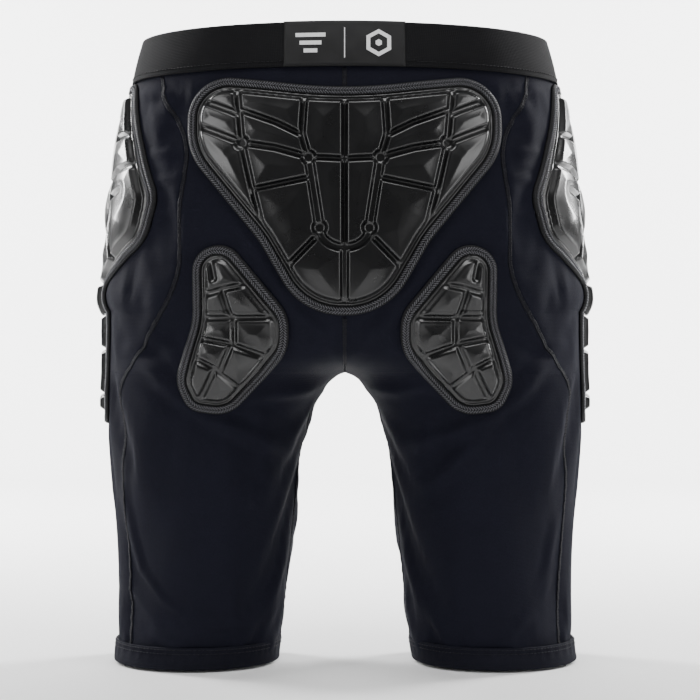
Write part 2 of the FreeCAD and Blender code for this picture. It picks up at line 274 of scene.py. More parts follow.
# heights above the hem (mm): where the legs part, and the cloth's top under the waistband
FORK, CLOTH_TOP = 228, 459
ROWS = np.unique(np.concatenate([
    np.linspace(0, FORK, 96), np.linspace(FORK, CLOTH_TOP, 98),
    FORK + np.array([0.03, 0.15, 0.4, 0.8, 1.4]), FORK - np.array([0.4, 1.2])]))
SLACK_COLUMNS = 72
SLACK_ROWS = np.linspace(0, CLOTH_TOP, 96)
SEWN_ABOVE, SEWN_BELOW = 446, 8
SLACK_LIMIT = 4.5
SIM_FRAMES = 24


def arc_angles(start, end, height, count):
    """Angles that divide each row's arc into equal lengths; one row for each height."""
    _, w, d = section(height)
    t = np.linspace(0, 1, 161)
    fine = start[:, None] + (end - start)[:, None] * t
    x, y = w[:, None] * np.cos(fine), d[:, None] * np.sin(fine)
    step = np.hypot(np.diff(x, axis=1), np.diff(y, axis=1))
    along = np.concatenate([np.zeros((len(height), 1)), np.cumsum(step, axis=1)], axis=1)
    even = np.linspace(0, 1, count)
    rows = [np.interp(even * a[-1], a, f) for a, f in zip(along, fine)]
    return np.array(rows), even[None, :] * along[:, -1:]


def middle_angle(height):
    """The angle at which a side's oval meets the middle of the body."""
    c, w, _ = section(height)
    return np.arccos(np.clip(-c / w, -1, 1))


def quads_of(index):
    """The four-sided faces of a grid of point numbers."""
    return np.stack([index[:-1, :-1], index[:-1, 1:], index[1:, 1:], index[1:, :-1]], axis=-1)


def slack_cloth():
    """Simulates the whole short as one slack cloth; gives each side's moves on a coarse grid."""
    start = middle_angle(SLACK_ROWS)
    angles, _ = arc_angles(start, -start, SLACK_ROWS, SLACK_COLUMNS)
    rows = np.repeat(SLACK_ROWS[:, None], SLACK_COLUMNS, axis=1)
    rest = np.stack([by_angle(side, angles, rows)[0] for side in SIDES.values()])
    flat = rest.reshape(-1, 3)
    grid = np.arange(angles.size).reshape(angles.shape)
    quads = [quads_of(grid + first).reshape(-1, 4) for first in (0, angles.size)]
    mesh = bpy.data.meshes.new("slack")
    mesh.from_pydata((flat * MM).tolist(), [], np.concatenate(quads).tolist())
    cloth = bpy.data.objects.new("slack", mesh)
    bpy.context.scene.collection.objects.link(cloth)
    held = np.zeros(rest.shape[:-1])
    held[:, (SLACK_ROWS > SEWN_ABOVE) | (SLACK_ROWS < SEWN_BELOW), :] = 1
    held[:, :, [0, -1]] = 1
    held = np.maximum(held, 1 - clear_of_pads(rest)).reshape(-1)
    group = cloth.vertex_groups.new(name="held")
    for i in np.flatnonzero(held > 0.01):
        group.add([int(i)], float(held[i]), "REPLACE")
    sim = cloth.modifiers.new("Cloth", "CLOTH")
    sim.settings.vertex_group_mass = "held"
    sim.settings.quality = 6
    sim.settings.mass = 0.12
    sim.settings.tension_stiffness = 12
    sim.settings.compression_stiffness = 12
    sim.settings.bending_stiffness = 0.6
    sim.settings.shrink_min = -0.022
    sim.settings.use_pressure = True
    sim.settings.uniform_pressure_force = 0.35
    sim.collision_settings.use_collision = False
    scene = bpy.context.scene
    sim.point_cache.frame_start = 1
    sim.point_cache.frame_end = SIM_FRAMES
    for f in range(1, SIM_FRAMES + 1):
        scene.frame_set(f)
    shaped = cloth.evaluated_get(bpy.context.evaluated_depsgraph_get()).to_mesh()
    co = np.zeros(len(flat) * 3)
    shaped.vertices.foreach_get("co", co)
    move = co.reshape(rest.shape) / MM - rest
    scene.frame_set(1)
    bpy.data.objects.remove(cloth)
    for _ in range(2):
        move[:, 1:-1] = (move[:, :-2] + 2 * move[:, 1:-1] + move[:, 2:]) / 4
    near_fork = np.exp(-((SLACK_ROWS - FORK - 4) / 12)**2)
    move *= (1 - 0.85 * near_fork)[:, None, None]
    length = np.linalg.norm(move, axis=-1, keepdims=True)
    return move * np.minimum(1, SLACK_LIMIT / np.maximum(length, 1e-6))


slack = dict(zip(SIDES, slack_cloth()))


def slack_at(side, share, height):
    """The simulated move at a share of the way round a side and a height."""
    u = np.clip(share, 0, 1) * (SLACK_COLUMNS - 1)
    v = np.clip(height / SLACK_ROWS[-1], 0, 1) * (len(SLACK_ROWS) - 1)
    i = np.minimum(v.astype(int), len(SLACK_ROWS) - 2)
    j = np.minimum(u.astype(int), SLACK_COLUMNS - 2)
    fv, fu = (v - i)[..., None], (u - j)[..., None]
    g = slack[side]
    return ((1 - fv) * ((1 - fu) * g[i, j] + fu * g[i, j + 1])
            + fv * ((1 - fu) * g[i + 1, j] + fu * g[i + 1, j + 1]))


def new_mesh(name, points, faces, uv=None):
    """A smooth-shaded object from points in millimetres; uv is one pair for each point."""
    mesh = bpy.data.meshes.new(name)
    mesh.from_pydata((np.asarray(points).reshape(-1, 3) * MM).tolist(), [], faces)
    if uv is not None:
        loops = np.zeros(len(mesh.loops), np.int32)
        mesh.loops.foreach_get("vertex_index", loops)
        layer = mesh.uv_layers.new(name="cloth")
        layer.data.foreach_set("uv", (uv.reshape(-1, 2)[loops] * MM).astype(np.float32).ravel())
    mesh.polygons.foreach_set("use_smooth", np.ones(len(mesh.polygons), bool))
    mesh.update()
    piece = bpy.data.objects.new(name, mesh)
    bpy.context.scene.collection.objects.link(piece)
    return piece


def sheet_of(name, outer, inner, uv, outward=True):
    """A closed sheet between two matching grids of points."""
    a = np.arange(outer[..., 0].size).reshape(outer.shape[:2])
    b = a + a.size
    faces = [quads_of(a).reshape(-1, 4), quads_of(b)[..., [0, 3, 2, 1]].reshape(-1, 4)]
    for p, q in ((a[0], b[0]), (b[-1], a[-1]), (b[:, 0], a[:, 0]), (a[:, -1], b[:, -1])):
        faces.append(np.stack([p[:-1], q[:-1], q[1:], p[1:]], axis=-1))
    faces = np.concatenate(faces)
    if not outward:
        faces = faces[:, ::-1]
    return new_mesh(name, np.concatenate([outer.reshape(-1, 3), inner.reshape(-1, 3)]),
                    faces.tolist(), np.concatenate([uv.reshape(-1, 2)] * 2))


def shader(name):
    """A new material, its node tree and its Principled shader."""
    material = bpy.data.materials.new(name)
    material.use_nodes = True
    tree = material.node_tree
    return material, tree, tree.nodes["Principled BSDF"]


def value_group(name, sockets):
    """An empty shader group, its input and its output; sockets are (way, kind, name, default)."""
    group = bpy.data.node_groups.new(name, "ShaderNodeTree")
    for way, kind, title, default in sockets:
        made = group.interface.new_socket(title, in_out=way, socket_type=kind)
        if default is not None:
            made.default_value = default
    return group, group.nodes.new("NodeGroupInput"), group.nodes.new("NodeGroupOutput")


def feed(tree, node, inputs):
    """Gives a node's inputs their links or values; a colour may leave out its alpha."""
    for socket, value in dict(inputs).items():
        if isinstance(value, bpy.types.NodeSocket):
            tree.links.new(value, node.inputs[socket])
        elif node.inputs[socket].type == "RGBA":
            node.inputs[socket].default_value = (*value[:3], 1)
        else:
            node.inputs[socket].default_value = value


def wired(tree, kind, inputs=(), **settings):
    """A node with its settings, and with values or links for its inputs."""
    node = tree.nodes.new(kind)
    for key, value in settings.items():
        setattr(node, key, value)
    feed(tree, node, inputs)
    return node


def on_object(tree):
    """Where a point is on the piece, in metres."""
    return wired(tree, "ShaderNodeTexCoord").outputs["Object"]


def on_cloth(tree):
    """Where a point is on the flat cloth or tape, in metres."""
    return wired(tree, "ShaderNodeUVMap", uv_map="cloth").outputs["UV"]


def cloudy(tree, where, scale, detail, roughness=0.5):
    """Soft random blotches."""
    return wired(tree, "ShaderNodeTexNoise", {"Vector": where, "Scale": scale,
                 "Detail": detail, "Roughness": roughness}).outputs["Fac"]


def striped(tree, where, scale, distortion, detail, direction):
    """Stripes of ribs, threads or twill."""
    return wired(tree, "ShaderNodeTexWave", {"Vector": where, "Scale": scale, "Distortion":
                 distortion, "Detail": detail}, bands_direction=direction).outputs["Fac"]


def product(tree, a, b):
    """Two values multiplied."""
    return wired(tree, "ShaderNodeMath", {0: a, 1: b}, operation="MULTIPLY").outputs[0]


def ranged(tree, value, low, high, to_low=0.0, to_high=1.0):
    """A value stretched from one range to another."""
    return wired(tree, "ShaderNodeMapRange", {"Value": value, "From Min": low, "From Max": high,
                 "To Min": to_low, "To Max": to_high}).outputs[0]


def dyed(tree, share, dark, light):
    """A colour between two dyes."""
    return wired(tree, "ShaderNodeMix", {0: share, 6: dark, 7: light},
                 data_type="RGBA").outputs[2]


def relief(tree, height, strength, distance):
    """Normals for a height too fine to model."""
    return wired(tree, "ShaderNodeBump", {"Height": height, "Strength": strength,
                 "Distance": distance}).outputs["Normal"]


def knit_group():
    """Warp-knit ribs and small loops on the cloth's own UVs, with slow wear in the dye."""
    group, given, out = value_group("knit", [
        ("INPUT", "NodeSocketFloat", "Ribs per metre", 900.0),
        ("INPUT", "NodeSocketColor", "Yarn", (0.01, 0.01, 0.018, 1)),
        ("INPUT", "NodeSocketColor", "Lit yarn", (0.02, 0.02, 0.03, 1)),
        ("OUTPUT", "NodeSocketColor", "Color", None),
        ("OUTPUT", "NodeSocketFloat", "Height", None),
        ("OUTPUT", "NodeSocketFloat", "Roughness", None)])
    scaled = wired(group, "ShaderNodeVectorMath", operation="SCALE", inputs={
        0: on_cloth(group), "Scale": given.outputs["Ribs per metre"]}).outputs[0]
    ribs = striped(group, scaled, 0.5, 0.6, 1, "X")
    loops = striped(group, scaled, 0.35, 1.2, 1, "Y")
    place = on_object(group)
    cloud = cloudy(group, place, 14, 6, 0.6)
    fuzz = cloudy(group, place, 900, 3)
    height = wired(group, "ShaderNodeMath", {0: fuzz, 1: 0.5, 2: product(group, ribs, loops)},
                   operation="MULTIPLY_ADD")
    tint = ranged(group, product(group, cloud, fuzz), 0.12, 0.42)
    feed(group, out, {
        "Color": dyed(group, tint, given.outputs["Yarn"], given.outputs["Lit yarn"]),
        "Height": height.outputs[0], "Roughness": ranged(group, cloud, 0.3, 0.7, 0.72, 0.86)})
    return group


knit = knit_group()


def knit_material(name, ribs, yarn, lit, sheen, bump):
    """Cloth in the shared knit, with its own rib count and colours."""
    material, tree, principled = shader(name)
    weave = wired(tree, "ShaderNodeGroup", node_tree=knit)
    feed(tree, weave, {"Ribs per metre": ribs, "Yarn": yarn, "Lit yarn": lit})
    feed(tree, principled, {
        "Base Color": weave.outputs["Color"], "Roughness": weave.outputs["Roughness"],
        "Normal": relief(tree, weave.outputs["Height"], bump, 0.0003),
        "Sheen Weight": sheen, "Sheen Roughness": 0.4, "Sheen Tint": (0.62, 0.66, 0.9),
        "Specular IOR Level": 0.06})
    return material


navy_knit = knit_material("navy_black_knit", 900, (0.0062, 0.0065, 0.0116),
                          (0.0096, 0.0100, 0.0170), 0.004, 0.35)
CLOTH_THICK = 1.0


def across_hip(piece):
    """Bakes the piece's placement into its points."""
    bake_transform(piece)


panel_edges = {}
for side, out in SIDES.items():
    c, w, _ = section(ROWS)
    start = middle_angle(ROWS)
    back = np.arccos(np.clip((smooth_curve(BACK_SEAM, ROWS)[:, 0] - c) / w, -1, 1))
    front = -np.arccos(np.clip((smooth_curve(FRONT_SEAM, ROWS)[:, 0] - c) / w, -1, 1))
    _, round_all = arc_angles(start, -start, ROWS, 2)
    before = np.zeros(len(ROWS))
    for place, first, last, columns in (("back", start, back, 84), ("side", back, front, 58),
                                        ("front", front, -start, 76)):
        angles, along = arc_angles(first, last, ROWS, columns)
        rows = np.repeat(ROWS[:, None], columns, axis=1)
        points, normals = by_angle(out, angles, rows)
        share = (before[:, None] + along) / round_all[:, 1:]
        open_cloth = clear_of_pads(points) * smoothstep(458, 448, rows) * smoothstep(0, 14, rows)
        edge = np.minimum(along, along[:, -1:] - along)
        pucker = 0.28 * np.sin(rows * 0.72 + 2 * np.sin(rows * 0.11)) * np.exp(-edge / 5)
        pulled = -0.35 * np.exp(-(edge / 2.2)**2)
        lift = (fold_height(points) + pucker) * open_cloth + pulled
        outer = points + normals * lift[..., None]
        outer = outer + slack_at(side, share, rows) * open_cloth[..., None]
        inner = outer - normals * CLOTH_THICK
        uv = np.stack([before[:, None] + along, rows], axis=-1)
        before = before + along[:, -1]
        panel = sheet_of(f"{place}_knit_{side}", outer, inner, uv, outward=out > 0)
        panel.data.materials.append(navy_knit)
        panel_edges[side, place] = (outer, normals)
        wide = float(along[:, -1].max()) * MM
        tall = float(ROWS[-1]) * MM
        across_hip(panel)
        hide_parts(f"{place}_panel_{side}", f"{side}_leg_{place}")

# ---------------------------------------------------------------------------------------
# Flatlock seams: the panels' edges are butted and sewn through with a ladder of threads
# between two rows of chain stitch, which stands a little proud of the cloth.
# ---------------------------------------------------------------------------------------


def plied_group():
    """Spun polyester: the plies show as fine slanting bands, with lighter fibres on top."""
    group, given, out = value_group("plied", [
        ("INPUT", "NodeSocketColor", "Dye", (0.01, 0.01, 0.01, 1)),
        ("INPUT", "NodeSocketColor", "Lit fibre", (0.02, 0.02, 0.02, 1)),
        ("OUTPUT", "NodeSocketColor", "Color", None),
        ("OUTPUT", "NodeSocketFloat", "Height", None)])
    place = on_object(group)
    fibre = cloudy(group, place, 260, 4)
    feed(group, out, {
        "Color": dyed(group, fibre, given.outputs["Dye"], given.outputs["Lit fibre"]),
        "Height": striped(group, place, 620, 1.5, 2, "DIAGONAL")})
    return group


plied = plied_group()


def thread_material(name, dye, roughness, bump):
    """A sewing thread in its own dye."""
    material, tree, principled = shader(name)
    yarn = wired(tree, "ShaderNodeGroup", node_tree=plied)
    feed(tree, yarn, {"Dye": dye, "Lit fibre": tuple(c * 2.2 for c in dye)})
    feed(tree, principled, {
        "Base Color": yarn.outputs["Color"],
        "Normal": relief(tree, yarn.outputs["Height"], bump, 0.0002),
        "Roughness": roughness, "Specular IOR Level": 0.15})
    return material


def stitch_tree():
    """Geometry Nodes: short threads laid along a line that carries its outward direction."""
    tree = bpy.data.node_groups.new("stitch_row", "GeometryNodeTree")
    face = tree.interface
    face.new_socket("Geometry", in_out="INPUT", socket_type="NodeSocketGeometry")
    for title, default in (("Spacing", 0.002), ("Thread length", 0.003),
                           ("Thread radius", 0.0003), ("Slant", 0.0), ("Sideways", 0.0)):
        socket = face.new_socket(title, in_out="INPUT", socket_type="NodeSocketFloat")
        socket.default_value = default
    face.new_socket("Material", in_out="INPUT", socket_type="NodeSocketMaterial")
    face.new_socket("Geometry", in_out="OUTPUT", socket_type="NodeSocketGeometry")
    given = tree.nodes.new("NodeGroupInput")
    out = tree.nodes.new("NodeGroupOutput")
    line = wired(tree, "GeometryNodeMeshToCurve", {"Mesh": given.outputs["Geometry"]})
    dots = wired(tree, "GeometryNodeCurveToPoints", {"Curve": line.outputs["Curve"],
                 "Length": given.outputs["Spacing"]}, mode="LENGTH")
    up = wired(tree, "GeometryNodeInputNamedAttribute", {"Name": "up"},
               data_type="FLOAT_VECTOR")
    stand = wired(tree, "FunctionNodeAlignRotationToVector", {"Vector": up.outputs[0]},
                  axis="Z")
    face_on = wired(tree, "FunctionNodeAlignRotationToVector", {
        "Rotation": stand.outputs["Rotation"], "Vector": dots.outputs["Tangent"]},
        axis="X", pivot_axis="Z")
    turn = wired(tree, "ShaderNodeCombineXYZ", {"Z": given.outputs["Slant"]})
    turned = wired(tree, "FunctionNodeEulerToRotation", {0: turn.outputs[0]})
    both = wired(tree, "FunctionNodeRotateRotation", {
        "Rotation": face_on.outputs["Rotation"], "Rotate By": turned.outputs["Rotation"]},
        rotation_space="LOCAL")
    thread = wired(tree, "GeometryNodeMeshCylinder", {"Vertices": 6,
                   "Radius": given.outputs["Thread radius"],
                   "Depth": given.outputs["Thread length"]}, fill_type="TRIANGLE_FAN")
    shift = wired(tree, "ShaderNodeCombineXYZ", {"Y": given.outputs["Sideways"]})
    laid = wired(tree, "GeometryNodeTransform", {"Geometry": thread.outputs["Mesh"],
                 "Translation": shift.outputs[0], "Rotation": (0, math.pi / 2, 0)})
    rows = wired(tree, "GeometryNodeInstanceOnPoints", {"Points": dots.outputs["Points"],
                 "Instance": laid.outputs["Geometry"], "Rotation": both.outputs["Rotation"]})
    real = wired(tree, "GeometryNodeRealizeInstances", {0: rows.outputs["Instances"]})
    painted = wired(tree, "GeometryNodeSetMaterial", {0: real.outputs["Geometry"],
                    "Material": given.outputs["Material"]})
    tree.links.new(painted.outputs[0], out.inputs[0])
    return tree


stitch_row = stitch_tree()


def stitched(name, lines, material, **sizes):
    """Bakes one row of threads along lines of (points, normals) in millimetres."""
    points, ups, edges = [], [], []
    for path, normals in lines:
        first = sum(len(p) for p in points)
        points.append(path)
        ups.append(normals)
        edges += [(first + i, first + i + 1) for i in range(len(path) - 1)]
    mesh = bpy.data.meshes.new(f"{name}_line")
    mesh.from_pydata((np.concatenate(points) * MM).tolist(), edges, [])
    up = mesh.attributes.new("up", "FLOAT_VECTOR", "POINT")
    up.data.foreach_set("vector", np.concatenate(ups).astype(np.float32).ravel())
    line = bpy.data.objects.new(f"{name}_line", mesh)
    bpy.context.scene.collection.objects.link(line)
    rows = line.modifiers.new("stitches", "NODES")
    rows.node_group = stitch_row
    sockets = {s.name: s.identifier for s in stitch_row.interface.items_tree
               if s.in_out == "INPUT"}
    for title, value in sizes.items():
        rows[sockets[title.replace("_", " ")]] = float(value)
    rows[sockets["Material"]] = material
    bpy.context.view_layer.update()
    ready = line.evaluated_get(bpy.context.evaluated_depsgraph_get())
    baked = bpy.data.meshes.new_from_object(ready)
    baked.name = name
    bpy.data.objects.remove(line)
    baked.polygons.foreach_set("use_smooth", np.ones(len(baked.polygons), bool))
    piece = bpy.data.objects.new(name, baked)
    bpy.context.scene.collection.objects.link(piece)
    return piece


def join(name, pieces):
    """Makes one object of several, keeping their materials."""
    with bpy.context.temp_override(active_object=pieces[0], selected_editable_objects=pieces):
        bpy.ops.object.join()
    pieces[0].name = name
    pieces[0].data.name = name
    return pieces[0]


def cord_band(name, path, normals, width, height, material):
    """A low rounded band along a line of points, standing on the surface."""
    profile = np.array([(-0.5, -0.1), (-0.5, 0.45), (-0.34, 0.9), (-0.12, 1.0), (0, 0.72),
                        (0.12, 1.0), (0.34, 0.9), (0.5, 0.45), (0.5, -0.1)])
    ahead = np.roll(path, -1, axis=0) - np.roll(path, 1, axis=0)
    ahead[0], ahead[-1] = path[1] - path[0], path[-1] - path[-2]
    sideways = np.cross(normals, ahead)
    sideways /= np.linalg.norm(sideways, axis=-1, keepdims=True)
    ring = (path[:, None] + sideways[:, None] * (profile[:, 0] * width)[:, None]
            + normals[:, None] * (profile[:, 1] * height)[:, None])
    index = np.arange(ring[..., 0].size).reshape(ring.shape[:2])
    here, there = index[:-1], index[1:]
    faces = np.stack([here, there, np.roll(there, -1, axis=1), np.roll(here, -1, axis=1)],
                     axis=-1).reshape(-1, 4).tolist()
    faces += [index[0].tolist(), index[-1][::-1].tolist()]
    band = new_mesh(name, ring, faces)
    band.data.materials.append(material)
    return band


def evened(path, normals, step):
    """The same line with its points evenly spaced, and unit normals."""
    along = along_line(path)
    at = np.linspace(0, along[-1], max(3, int(along[-1] / step)))
    spaced = [np.stack([np.interp(at, along, a[:, k]) for k in range(3)], axis=1)
              for a in (path, normals)]
    spaced[1] /= np.linalg.norm(spaced[1], axis=1, keepdims=True)
    return spaced


seam_thread = thread_material("black_seam_thread", (0.0040, 0.0040, 0.0062), 0.62, 0.5)
SEAM_WIDE, SEAM_TALL = 3.6, 0.62
ACROSS_SEAM = 1.32


def flatlock(name, path, normals):
    """One flatlock seam: its rounded band, the ladder across it and its two edge rows."""
    path, normals = evened(path, normals, 2.4)
    raised = path + normals * SEAM_TALL * 0.8
    pieces = [
        cord_band(f"{name}_band", path, normals, SEAM_WIDE, SEAM_TALL, seam_thread),
        stitched(f"{name}_ladder", [(raised, normals)], seam_thread, Spacing=0.0015,
                 Thread_length=SEAM_WIDE * MM, Thread_radius=0.00022, Slant=ACROSS_SEAM),
    ]
    for side in (-1, 1):
        pieces.append(stitched(f"{name}_row_{side}", [(raised, normals)], seam_thread,
                               Spacing=0.0026, Thread_length=0.0022, Thread_radius=0.00028,
                               Sideways=side * 0.0011))
    return join(name, pieces)


BELOW_BAND = ROWS < 455
BELOW_FORK = (ROWS < FORK - 1) & (ROWS > 14)
# heights (mm) between which the tailbone pad covers the centre back seam
UNDER_PAD = 271, 438
for side in SIDES:
    for place, column in (("back", 0), ("front", -1)):
        outer, normals = panel_edges[side, "side"]
        line = outer[BELOW_BAND, column]
        seam = flatlock(f"{place}_side_flatlock_{side}", line, normals[BELOW_BAND, column])
        across_hip(seam)
        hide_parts(f"{place}_side_seam_{side}", f"{side}_leg_{place}_seam")
    outer, normals = panel_edges[side, "back"]
    seam = flatlock(f"{side}_inseam_flatlock", outer[BELOW_FORK, 0], normals[BELOW_FORK, 0])
    across_hip(seam)
    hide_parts(f"{side}_inseam")

for place, column, node in (("back", 0, "centre_back_seam"), ("front", -1, "centre_front_seam")):
    outer, normals = panel_edges["right", place]
    above_fork = BELOW_BAND & (ROWS > FORK)
    line, up = outer[above_fork, column] * (0, 1, 1), normals[above_fork, column] * (0, 1, 1)
    up[:, 1:] /= np.linalg.norm(up[:, 1:], axis=1, keepdims=True)
    height = line[:, 2] + DROP
    covered = (place == "back") & (height > UNDER_PAD[0]) & (height < UNDER_PAD[1])
    runs = [flatlock(f"middle_{place}_{run[0]}", line[run], up[run])
            for run in np.split(np.arange(len(line)), np.flatnonzero(np.diff(covered)) + 1)
            if not covered[run[0]]]
    seam = join(f"centre_{place}_flatlock", runs) if len(runs) > 1 else runs[0]
    seam.name = f"centre_{place}_flatlock"
    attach(seam, "seat")
    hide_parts(node)

# ---------------------------------------------------------------------------------------
# Waistband: one loop of ribbed elastic, 34 mm high, brushed inside.  Its edges are turned
# soft and it is joined to the knit by a single row of stitches along the lower edge.
# ---------------------------------------------------------------------------------------


def ribbed_elastic():
    """Elastic with fine lengthwise ribs and a slow cloudiness where it has been handled."""
    material, tree, principled = shader("black_ribbed_elastic")
    ribs = striped(tree, on_cloth(tree), 260, 0.35, 1, "Y")
    picks = striped(tree, on_cloth(tree), 210, 0.8, 1, "X")
    weave = product(tree, ribs, picks)
    both = wired(tree, "ShaderNodeMath", {0: cloudy(tree, on_object(tree), 24, 6, 0.62),
                 1: weave}, operation="ADD")
    tint = ranged(tree, both.outputs[0], 0.4, 1.3)
    feed(tree, principled, {
        "Base Color": dyed(tree, tint, (0.0052, 0.0052, 0.0060), (0.0100, 0.0100, 0.0112)),
        "Normal": relief(tree, weave, 0.5, 0.0004),
        "Roughness": 0.82, "Specular IOR Level": 0.10})
    return material


def band_around(count, levels, lifts, waver=0.0):
    """Rings of points round the waist: heights in mm above the hem, each with its lift."""
    angle = np.linspace(0, 2 * math.pi, count, endpoint=False)
    rings, ups = [], []
    for height, lift in zip(levels, lifts):
        h = np.full(count, float(height))
        _, w, d = section(h)
        x, y = w * np.cos(angle), -d * np.sin(angle)
        side = np.where(x < 0, -1, 1)
        up = on_body(side, np.abs(x), y, h)
        wave = waver * np.sin(angle * 7 + 1) * np.sin(angle * 3) * smoothstep(470, 452, h)
        rings.append(np.stack([x, y, h - DROP], axis=-1) + up * (lift + wave)[:, None])
        ups.append(up)
    return np.array(rings), np.array(ups)


def turned_loop(name, rings, along, across, outward=True):
    """A closed loop of cloth: matching rings, each one step further round its turned profile."""
    index = np.arange(rings[..., 0].size).reshape(rings.shape[:2])
    there = np.roll(index, -1, axis=0)
    faces = np.stack([index, np.roll(index, -1, axis=1), np.roll(there, -1, axis=1), there],
                     axis=-1).reshape(-1, 4)
    if not outward:
        faces = faces[:, ::-1]
    uv = np.stack(np.broadcast_arrays(along, np.reshape(across, (-1, 1))), axis=-1)
    return new_mesh(name, rings, faces.tolist(), uv)


BAND_TOP, BAND_FOOT = 490, 456
BAND_TALL = BAND_TOP - BAND_FOOT
WAIST_AROUND = 860
BAND_POINTS = 420
band_profile = [(BAND_FOOT, 0.9), (BAND_FOOT - 0.6, 1.5), (BAND_FOOT + 0.4, 2.0)]
band_profile += [(h, 1.9 + 0.5 * math.sin(math.pi * (h - BAND_FOOT) / BAND_TALL))
                 for h in np.linspace(BAND_FOOT + 2, BAND_TOP - 2, 17)]
band_profile += [(BAND_TOP - 0.4, 1.9), (BAND_TOP, 1.2), (BAND_TOP - 0.2, 0.2),
                 (BAND_TOP - 1.6, -0.3)]
band_profile += [(h, -0.25) for h in np.linspace(BAND_TOP - 4, BAND_FOOT + 2, 9)]
levels, lifts = zip(*band_profile)
rings, _ = band_around(BAND_POINTS, levels, lifts, waver=0.5)
elastic = turned_loop("elastic_waistband", rings, np.linspace(0, WAIST_AROUND, BAND_POINTS),
                      levels, outward=False)
elastic.data.materials.append(ribbed_elastic())
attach(elastic, "seat")
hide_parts("waistband")

band_thread = thread_material("black_band_thread", (0.0075, 0.0075, 0.0085), 0.6, 0.5)
(row_line,), (row_up,) = band_around(700, [BAND_FOOT + 3.8], [2.3], waver=0.5)
LABEL_HALF = 45.0
off_label = (np.abs(row_line[:, 0]) > LABEL_HALF + 1.5) | (row_line[:, 1] > 0)
first = int(np.flatnonzero(~off_label & np.roll(off_label, -1))[0]) + 1
order = np.roll(np.arange(len(row_line)), -first)
order = order[off_label[order]]
topstitch = stitched("waistband_topstitch", [(row_line[order], row_up[order])], band_thread,
                     Spacing=0.0033, Thread_length=0.0026, Thread_radius=0.0003)
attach(topstitch, "seat")
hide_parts("waistband_stitching")

# ---------------------------------------------------------------------------------------
# Label: a patch of woven black satin sewn to the back of the waistband, with a thin printed
# divider, three bars to its left and an open hexagon, with a small one in it, to its right.
# ---------------------------------------------------------------------------------------


def satin():
    """Woven satin: fine crosswise floats that catch the light along one direction."""
    material, tree, principled = shader("black_woven_satin")
    floats = striped(tree, on_cloth(tree), 420, 1.2, 2, "Y")
    slub = cloudy(tree, on_cloth(tree), 160, 5)
    feed(tree, principled, {
        "Base Color": dyed(tree, slub, (0.0030, 0.0030, 0.0034), (0.0070, 0.0070, 0.0078)),
        "Normal": relief(tree, floats, 0.35, 0.0002),
        "Roughness": ranged(tree, slub, 0, 1, 0.46, 0.62), "Specular IOR Level": 0.3})
    return material


def on_band(across, height, lift):
    """Points on the back of the waistband."""
    points, up = from_behind(np.asarray(across, float), np.asarray(height, float))
    bulge = 1.9 + 0.5 * np.sin(np.pi * np.clip((height - BAND_FOOT) / BAND_TALL, 0, 1))
    return points + up * (bulge + lift)[..., None]


across, up = np.meshgrid(np.linspace(-LABEL_HALF, LABEL_HALF, 92),
                         np.linspace(BAND_FOOT - 0.5, BAND_TOP + 0.3, 36))
edge = np.minimum(LABEL_HALF - np.abs(across), np.minimum(up - up.min(), up.max() - up))
soft_edge = 0.55 * np.sqrt(smoothstep(0, 1.4, edge)) + 0.12 * np.exp(-((edge - 2.2) / 0.5)**2)
ripple = 0.12 * np.sin(across * 0.21 + 1) * np.sin(up * 0.3)
patch = sheet_of("waist_label_patch", on_band(across, up, 0.25 + soft_edge + ripple),
                 on_band(across, up, np.full(up.shape, 0.12)), np.stack([across, up], axis=-1))
patch.data.materials.append(satin())
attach(patch, "seat")
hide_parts("waist_label")

print_white, print_tree, print_shader = shader("white_print")
worn = cloudy(print_tree, on_object(print_tree), 700, 4)
feed(print_tree, print_shader, {
    "Base Color": dyed(print_tree, worn, (0.60, 0.60, 0.61), (0.86, 0.86, 0.86)),
    "Roughness": 0.6})


def printed(name, corners_in, corners_out=None):
    """A flat printed mark: a filled outline, or a ring between two outlines."""
    rings = [np.array(corners_in, float)]
    rings += [np.array(corners_out, float)] if corners_out is not None else []
    flat = np.concatenate(rings)
    low = on_band(flat[:, 0], flat[:, 1], np.full(len(flat), 0.70))
    top = on_band(flat[:, 0], flat[:, 1], np.full(len(flat), 1.12))
    n, total = len(rings[0]), len(flat)
    faces = []
    for k in range(n):
        j = (k + 1) % n
        if corners_out is None:
            faces.append((k, j, total + j, total + k))
        else:
            faces += [(k, total + k, total + j, j), (n + k, n + j, total + n + j, total + n + k),
                      (total + k, total + n + k, total + n + j, total + j)]
    if corners_out is None:
        faces.append(tuple(range(total, 2 * total)))
    mark = new_mesh(name, np.concatenate([low, top]), faces)
    mark.data.polygons.foreach_set("use_smooth", np.zeros(len(mark.data.polygons), bool))
    mark.data.materials.append(print_white)
    return mark


MID = (BAND_TOP + BAND_FOOT) / 2
MARKS_OUT = 25
CORNERS = (-1, -1), (1, -1), (1, 1), (-1, 1)


def block(across, up, wide, tall):
    """The four corners of a block about a point."""
    return [(across + x * wide / 2, up + z * tall / 2) for x, z in CORNERS]


def hexagon(radius):
    """Six corners, with one at the top, about the middle of the label's right half."""
    return [(MARKS_OUT + radius * math.cos(a), MID + radius * math.sin(a))
            for a in np.radians(np.arange(30, 390, 60))]


marks = [printed("divider", block(0, MID, 0.7, 23))]
for number, (wide, level) in enumerate(((22, 6), (16, 0), (10, -6))):
    marks.append(printed(f"bar_{number}", block(-MARKS_OUT, MID + level, wide, 3)))
marks.append(printed("open_hexagon", hexagon(7.2), hexagon(10.4)))
marks.append(printed("small_hexagon", hexagon(2.6)))
label_print = join("label_print", marks)
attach(label_print, "seat")

